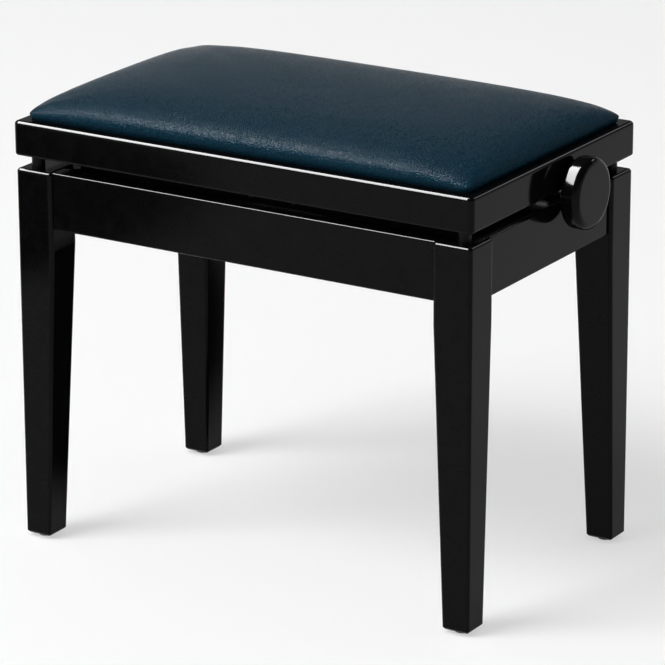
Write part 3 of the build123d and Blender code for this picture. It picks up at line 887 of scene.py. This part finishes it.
@dataclass
class Fasteners:
    """The pan-head wood screws of base and seat, and where they sit in one quarter.

    The head's rings are shares of its height and radius.
    """

    head_radius: float = 0.004
    head_height: float = 0.0025
    head_rings: Rings = ((0.45, 1.0), (0.68, 0.93), (0.88, 0.76), (0.96, 0.62))
    shank_radius: float = 0.002
    shank_length: float = 0.008
    tip_share: float = 0.2
    slot_length: float = 0.0023
    slot_width: float = 0.0009
    slot_depth: float = 0.0013
    slot_taper: float = 0.8
    facets: int = 24
    block_long_side: Point = (0.2020, 0.1265, 0.371)
    block_short_side: Point = (0.2335, 0.0950, 0.371)
    base_rail: Point = (0.15, 0.1065, 0.391)
    board: Point = (0.239, 0.132, 0.428)
    lift_rail_inner: Point = (0.065, 0.1065, 0.447)
    lift_rail_outer: Point = (0.195, 0.1065, 0.447)

    def screw(self) -> Piece:
        """Makes one screw with a cross recess in its rounded head.

        Returns:
            The screw, which is only copied and never shown itself.
        """
        work = bmesh.new()
        profile = [
            (self.shank_length, self.shank_radius * self.tip_share),
            (self.shank_length - self.shank_radius, self.shank_radius),
            (0.0, self.shank_radius),
            (0.0, self.head_radius),
        ]
        profile += [(-self.head_height * up, self.head_radius * out) for up, out in self.head_rings]
        Shop.spin(work, profile, self.facets)
        top, _ = profile[-1]
        self._recess(work, top)
        bmesh.ops.recalc_face_normals(work, faces=work.faces)
        for face in work.faces:
            face.smooth = True
        screw = Shop.keep("wood_screw", work)
        screw.hide_render = True
        return screw

    def _recess(self, work: Work, top: float) -> None:
        """Closes the head with a face that holds a cross-shaped well.

        Args:
            work: the screw so far, with an open ring at the head's top.
            top: the ring's height.
        """
        ring = [v for v in work.verts if abs(v.co.z - top) < TINY]
        long, half = self.slot_length, self.slot_width / 2
        cross = []
        for step in range(4):
            turn = Matrix.Rotation(step * math.pi / 2, 2)
            cross += [turn @ Vector(corner) for corner in ((long, -half), (long, half), (half, half))]
        mouth = [work.verts.new((p.x, p.y, top)) for p in cross]
        deep = [p * self.slot_taper for p in cross]
        floor = [work.verts.new((p.x, p.y, top + self.slot_depth)) for p in deep]
        edges = [e for e in work.edges if all(v in ring for v in e.verts)]
        for index, vertex in enumerate(mouth):
            after = (index + 1) % len(mouth)
            work.faces.new((vertex, mouth[after], floor[after], floor[index]))
            edges.append(work.edges.get((vertex, mouth[after])))
        work.faces.new(floor)
        bmesh.ops.triangle_fill(work, edges=edges, use_beauty=True)

    @staticmethod
    def quarters(*places: Point) -> list[Point]:
        """Repeats places of one quarter of the stool in all four."""
        return [(x * px, y * py, z) for x, y in CORNERS for px, py, z in places]

    def build(self, tools: NodeTools, palette: Palette) -> None:
        """Makes every set of screws, in place of the plain ones.

        Args:
            tools: the geometry trees.
            palette: the finishes.
        """
        part = self.screw()
        blocks = self.quarters(self.block_long_side) + self.quarters(self.block_short_side)
        block_aims = [(0, y, 0) for x, y in CORNERS] + [(x, 0, 0) for x, y in CORNERS]
        rails = self.quarters(self.base_rail)
        boards = self.quarters(self.board)
        lifts = self.quarters(self.lift_rail_inner, self.lift_rail_outer)
        sets = (
            ("corner_block_screws", "base", blocks, block_aims),
            ("base_rail_screws", "base", rails, [(0, 0, -1)] * len(rails)),
            ("board_screws", "seat", boards, [(0, 0, 1)] * len(boards)),
            ("lift_rail_screws", "seat", lifts, [(0, 0, 1)] * len(lifts)),
        )
        for node, body, places, directions in sets:
            piece = Shop.points(f"{node}_detailed", places, directions)
            tools.copy_on(piece, part, palette["zinc_steel"])
            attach(piece, body)
            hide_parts(node)
            log.info("%s: %d screws", node, len(places))
        bpy.data.objects.remove(part)


@dataclass
class Spindle:
    """The lift's spindle, turned down and threaded by opposite hands on its two halves."""

    half_length: float = 0.297
    radius: float = 0.006
    chamfer: float = 0.001
    core_radius: float = 0.0051
    ridge: float = 0.0008
    thread_start: float = 0.0955
    thread_end: float = 0.165
    lead: float = 0.003
    offset: float = 0.028
    height: float = 0.420
    facets: int = 32

    def rod(self) -> Piece:
        """Makes the rod with its two turned-down lengths.

        Returns:
            The rod.
        """
        half = [
            (0.0, self.radius),
            (self.thread_start - self.chamfer, self.radius),
            (self.thread_start, self.core_radius),
            (self.thread_end, self.core_radius),
            (self.thread_end + self.chamfer, self.radius),
            (self.half_length - self.chamfer, self.radius),
            (self.half_length, self.radius - self.chamfer),
        ]
        profile = [(-place, radius) for place, radius in reversed(half[1:])] + half
        work = bmesh.new()
        Shop.spin(work, profile, self.facets)
        work.faces.new([v for v in work.verts if abs(v.co.z - self.half_length) < TINY])
        turn = Matrix.Rotation(math.pi / 2, 4, "Y")
        move = Matrix.Translation((0.0, self.offset, self.height))
        bmesh.ops.transform(work, matrix=move @ turn, verts=work.verts)
        bmesh.ops.recalc_face_normals(work, faces=work.faces)
        rod = Shop.keep("spindle_rod", work)
        round_wall = [len(p.vertices) == 4 for p in rod.data.polygons]
        rod.data.polygons.foreach_set("use_smooth", round_wall)
        return rod

    def build(self, tools: NodeTools, palette: Palette) -> None:
        """Makes the rod and its threads.

        Args:
            tools: the geometry trees.
            palette: the finishes.
        """
        steel = palette["zinc_steel"]
        rod = self.rod()
        rod.data.materials.append(steel)
        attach(rod, "spindle")
        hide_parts("spindle")
        log.info("spindle_rod: %d faces", len(rod.data.polygons))
        length = self.thread_end - self.thread_start - 2 * self.ridge
        starts = {Hand.RIGHT: -self.thread_end + self.ridge, Hand.LEFT: self.thread_start + self.ridge}
        for hand, start in starts.items():
            name = f"spindle_thread_{hand.name.lower()}_hand"
            thread = Shop.place(name, bpy.data.meshes.new(name))
            values = {
                "Radius": self.radius - self.ridge,
                "Ridge": self.ridge,
                "Turns": length / self.lead,
                "Length": length,
                "Left Hand": hand.value,
                "Start": (start, self.offset, self.height),
                "Finish": steel,
            }
            tools.run(thread, tools.thread, values)
            Shop.smooth(thread.data)
            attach(thread, "spindle")
            log.info("%s: %d faces", name, len(thread.data.polygons))


@dataclass(frozen=True)
class HemEdge:
    """One turned-under edge of the cover, the same on two sides of the seat."""

    half: float
    inner: float
    outer: float
    along_y: bool


@dataclass
class CoverHem:
    """The cover's edge, turned under the board and stapled."""

    top: float = 0.4499
    thickness: float = 0.0009
    long_edge: HemEdge = HemEdge(0.214, 0.126, 0.1416, False)
    short_edge: HemEdge = HemEdge(0.104, 0.2415, 0.2486, True)
    steps: int = 48
    slow_sway: float = 0.0005
    slow_rate: float = 130.0
    fast_sway: float = 0.0003
    fast_rate: float = 410.0
    staple_width: float = 0.010
    staple_wire: float = 0.0006
    pitch: float = 0.022

    def strips(self) -> Piece:
        """Makes the four turned-under edges, a little uneven along their cut.

        Returns:
            The strips as one piece.
        """
        work = bmesh.new()
        for side in SIDES:
            for edge in (self.long_edge, self.short_edge):
                self._strip(work, side, edge)
        bmesh.ops.recalc_face_normals(work, faces=work.faces)
        return Shop.keep("cover_hem", work)

    def _strip(self, work: Work, side: int, edge: HemEdge) -> None:
        """Adds one strip.

        Args:
            work: the mesh to add to.
            side: which side of the seat it is on.
            edge: its sizes.
        """
        rows = []
        for step in range(self.steps + 1):
            along = -edge.half + 2 * edge.half * step / self.steps
            sway = self.slow_sway * math.sin(along * self.slow_rate + side)
            inner = edge.inner + sway + self.fast_sway * math.sin(along * self.fast_rate)
            row = []
            for across, drop in ((inner, 0.0), (edge.outer, 0.0), (edge.outer, 1.0), (inner, 1.0)):
                spot = (side * across, along) if edge.along_y else (along, side * across)
                row.append(work.verts.new((*spot, self.top - self.thickness * drop)))
            rows.append(row)
        for row, after in zip(rows, rows[1:]):
            for step in range(4):
                turn = (step + 1) % 4
                work.faces.new((row[step], row[turn], after[turn], after[step]))
        work.faces.new(rows[0])
        work.faces.new(rows[-1])

    def staple(self) -> Piece:
        """Makes one staple whose crown lies along X and whose legs go up along Z.

        Returns:
            The staple, which is only copied and never shown itself.
        """
        path = bpy.data.curves.new("staple", "CURVE")
        path.dimensions = "3D"
        path.bevel_depth = self.staple_wire
        path.bevel_resolution = 1
        path.use_fill_caps = True
        half = self.staple_width / 2
        rise = self.staple_wire
        corners = [(-half, 0, rise), (-half, 0, 0), (half, 0, 0), (half, 0, rise)]
        spline = path.splines.new("POLY")
        spline.points.add(len(corners) - 1)
        for point, corner in zip(spline.points, corners):
            point.co = (*corner, 1.0)
        wire = bpy.data.objects.new("staple", path)
        bpy.context.scene.collection.objects.link(wire)
        bpy.context.view_layer.update()
        graph = bpy.context.evaluated_depsgraph_get()
        mesh = bpy.data.meshes.new_from_object(wire.evaluated_get(graph))
        bpy.data.objects.remove(wire)
        part = Shop.place("staple", mesh)
        part.hide_render = True
        return part

    def build(self, tools: NodeTools, palette: Palette) -> None:
        """Makes the hem and the staples along its long edges.

        Args:
            tools: the geometry trees.
            palette: the finishes.
        """
        hem = self.strips()
        hem.data.materials.append(palette["navy_leatherette"])
        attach(hem, "seat")
        level = self.top - self.thickness
        middle = (self.long_edge.inner + self.long_edge.outer) / 2
        count = int(2 * self.long_edge.half / self.pitch)
        spread = [(index - (count - 1) / 2) * self.pitch for index in range(count)]
        places = [(x, side * middle, level) for side in SIDES for x in spread]
        row = Shop.points("cover_staples", places, [(0, 0, 1)] * len(places))
        part = self.staple()
        tools.copy_on(row, part, palette["zinc_steel"])
        Shop.smooth(row.data)
        bpy.data.objects.remove(part)
        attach(row, "seat")
        log.info("cover hem with %d staples", len(places))


@dataclass(frozen=True)
class Flag:
    """A soft black patch of floor that only mirrored rays see: a painted dark reflection in the polished
    faces.
    """

    place: Point
    turn: float
    half_length: float
    half_width: float
    core: float = 0.714

    def shade(self, tree: Tree, spot: Socket) -> Socket:
        """Works out how much of the patch lies over a spot.

        Args:
            tree: the floor's tree.
            spot: the place on the floor.

        Returns:
            One in the patch's core, falling to nothing at its edge.
        """
        values = {
            "Vector": spot,
            "Location": self.place,
            "Rotation": (0.0, 0.0, math.radians(self.turn)),
            "Scale": (self.half_length, self.half_width, 1.0),
        }
        laid = tree.add("ShaderNodeMapping", values, vector_type="TEXTURE")
        away = tree.add(VECTOR_MATH, {0: laid.outputs[0]}, operation="LENGTH").outputs["Value"]
        fall = {"Value": away, "From Min": self.core, "From Max": 1.0, "To Min": 1.0, "To Max": 0.0}
        return tree.add(RANGE, fall, interpolation_type="SMOOTHSTEP").outputs[0]


@dataclass
class Studio:
    """Pale floor, soft light from the left and above, and the camera."""

    eye: Point = (2.1389, -3.3923, 1.5648)
    azimuth: float = 32.114
    elevation: float = 18.426
    roll: float = -0.21
    lens: float = 217.47
    sensor: float = 36.0
    floor_half: float = 24.0
    floor_colour: Colour = (0.91, 0.91, 0.91)
    floor_glow: float = 0.5
    front_flag: Flag = Flag((-1.25, -1.10, 0.0), 0.0, 0.56, 0.56)
    leg_flag: Flag = Flag((0.10, 0.405, 0.0), 57.9, 0.62, 0.2)
    fill: float = 0.45
    sky_low: float = 0.85
    sky_high: float = 0.03
    sky_top: float = 0.42
    key_place: Point = (-2.85, -3.9, 5.7)
    key_size: tuple[float, float] = (3.6, 3.6)
    key_power: float = 450.0
    gloss_place: Point = (-1.2, -0.75, 2.2)
    gloss_size: tuple[float, float] = (1.7, 2.3)
    gloss_radiance: float = 110.0
    edge_place: Point = (1.35, 3.6, 2.6)
    edge_size: tuple[float, float] = (1.4, 0.6)
    edge_radiance: float = 5.0
    aim: Point = (0.0, 0.0, 0.42)

    def world(self) -> None:
        """Makes the surroundings: white to look at, a soft fill as light, darker above in mirrors."""
        world = bpy.data.worlds.new("studio")
        world.use_nodes = True
        tree = Tree(world.node_tree)
        path = tree.add("ShaderNodeLightPath").outputs
        place = tree.add("ShaderNodeTexCoord").outputs["Generated"]
        split = tree.add("ShaderNodeSeparateXYZ", {0: place})
        heights = {"Value": split.outputs["Z"], "From Max": self.sky_top}
        levels = {"To Min": self.sky_low - self.fill, "To Max": self.sky_high - self.fill}
        rise = tree.add(RANGE, {**heights, **levels}, interpolation_type="SMOOTHSTEP")
        seen = tree.math("MAXIMUM", path["Is Camera Ray"], path["Is Transmission Ray"])
        mirrored = tree.math("MULTIPLY", path["Is Glossy Ray"], rise.outputs[0])
        lifted = tree.math("MULTIPLY", seen, 1.0 - self.fill)
        level = tree.math("ADD", tree.math("ADD", lifted, mirrored), self.fill)
        sky = tree.add("ShaderNodeBackground", {"Color": (1.0, 1.0, 1.0, 1.0), "Strength": level})
        tree.add("ShaderNodeOutputWorld", {"Surface": sky.outputs[0]})
        bpy.context.scene.world = world

    def floor(self) -> None:
        """Makes the pale floor, which keeps the stool's shadow; its black flags show in mirrors only."""
        reach = self.floor_half
        mesh = bpy.data.meshes.new("floor")
        corners = [(-reach, -reach, 0), (reach, -reach, 0), (reach, reach, 0), (-reach, reach, 0)]
        mesh.from_pydata(corners, [], [(0, 1, 2, 3)])
        material = bpy.data.materials.new("pale_floor")
        material.use_nodes = True
        tree = Tree(material.node_tree)
        path = tree.add("ShaderNodeLightPath").outputs
        direct = tree.math("MAXIMUM", path["Is Camera Ray"], path["Is Glossy Ray"])
        seen = tree.math("MAXIMUM", direct, path["Is Transmission Ray"])
        paper = tree.add("ShaderNodeBsdfDiffuse", {"Color": (*self.floor_colour, 1.0)})
        glow = tree.add("ShaderNodeEmission", {"Strength": 1.0})
        share = tree.math("MULTIPLY", seen, self.floor_glow)
        lit = tree.add("ShaderNodeMixShader", {0: share, 1: paper.outputs[0], 2: glow.outputs[0]})
        place = tree.add("ShaderNodeTexCoord").outputs["Object"]
        # The flags paint dark reflections into the lacquer: the floor turns black for mirrored rays only.
        shade = tree.math("MAXIMUM", self.front_flag.shade(tree, place), self.leg_flag.shade(tree, place))
        flagged = tree.math("MULTIPLY", shade, path["Is Glossy Ray"])
        dark = tree.add("ShaderNodeBsdfDiffuse", {"Color": (0.0, 0.0, 0.0, 1.0)})
        dim = tree.add("ShaderNodeMixShader", {0: flagged, 1: lit.outputs[0], 2: dark.outputs[0]})
        tree.add("ShaderNodeOutputMaterial", {"Surface": dim.outputs[0]})
        mesh.materials.append(material)
        Shop.place("floor", mesh)

    def lamp(self, name: str, place: Point, size: tuple[float, float], power: float) -> Piece:
        """Makes a rectangular soft lamp aimed at the seat.

        Args:
            name: the lamp's name.
            place: where it hangs.
            size: its width and height.
            power: its power in watts.

        Returns:
            The lamp.
        """
        data = bpy.data.lights.new(name, "AREA")
        data.shape = "RECTANGLE"
        data.size, data.size_y = size
        data.energy = power
        lamp = bpy.data.objects.new(name, data)
        lamp.location = place
        away = Vector(self.aim) - Vector(place)
        lamp.rotation_euler = away.to_track_quat("-Z", "Y").to_euler()
        lamp.visible_camera = False
        bpy.context.scene.collection.objects.link(lamp)
        return lamp

    def panel(self, name: str, place: Point, size: tuple[float, float], radiance: float) -> Piece:
        """Makes a lamp that only mirroring surfaces see.

        Args:
            name: the lamp's name.
            place: where it hangs.
            size: its width and height.
            radiance: how bright it is to look at.

        Returns:
            The lamp.
        """
        panel = self.lamp(name, place, size, radiance * math.pi * size[0] * size[1])
        panel.visible_diffuse = False
        return panel

    def lamps(self) -> None:
        """Makes the key lamp, and the two panels that the polished edges mirror."""
        key = self.lamp("key", self.key_place, self.key_size, self.key_power)
        key.visible_glossy = False
        front = self.panel("gloss_panel", self.gloss_place, self.gloss_size, self.gloss_radiance)
        tilt = math.atan2(-self.gloss_place[1], self.gloss_place[2] - self.aim[2])
        front.rotation_euler = (tilt, 0.0, 0.0)
        self.panel("edge_panel", self.edge_place, self.edge_size, self.edge_radiance)

    def camera(self) -> None:
        """Makes the camera at the stool's front right."""
        data = bpy.data.cameras.new("camera")
        data.lens = self.lens
        data.sensor_width = self.sensor
        camera = bpy.data.objects.new("camera", data)
        turn, tilt = math.radians(self.azimuth), math.radians(self.elevation)
        flat = math.cos(tilt)
        ahead = Vector((-math.sin(turn) * flat, math.cos(turn) * flat, -math.sin(tilt)))
        camera.location = self.eye
        rolled = Quaternion((0.0, 0.0, 1.0), math.radians(self.roll))
        camera.rotation_euler = (ahead.to_track_quat("-Z", "Y") @ rolled).to_euler()
        scene = bpy.context.scene
        scene.collection.objects.link(camera)
        scene.camera = camera
        scene.view_settings.view_transform = "Standard"

    def build(self) -> None:
        """Makes the whole studio."""
        self.camera()
        self.world()
        self.floor()
        self.lamps()


def main() -> None:
    """Loads the frame, dresses it and sets the scene."""
    logging.basicConfig(level=logging.INFO, format="%(name)s: %(message)s")
    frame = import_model()
    nodes = frame["nodes"]
    Studio().build()
    palette = Palette()
    palette.dress(nodes)
    tools = NodeTools()
    Cushion().build(nodes, palette)
    Fasteners().build(tools, palette)
    Spindle().build(tools, palette)
    CoverHem().build(tools, palette)
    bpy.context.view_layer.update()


if __name__ == "__main__":
    main()
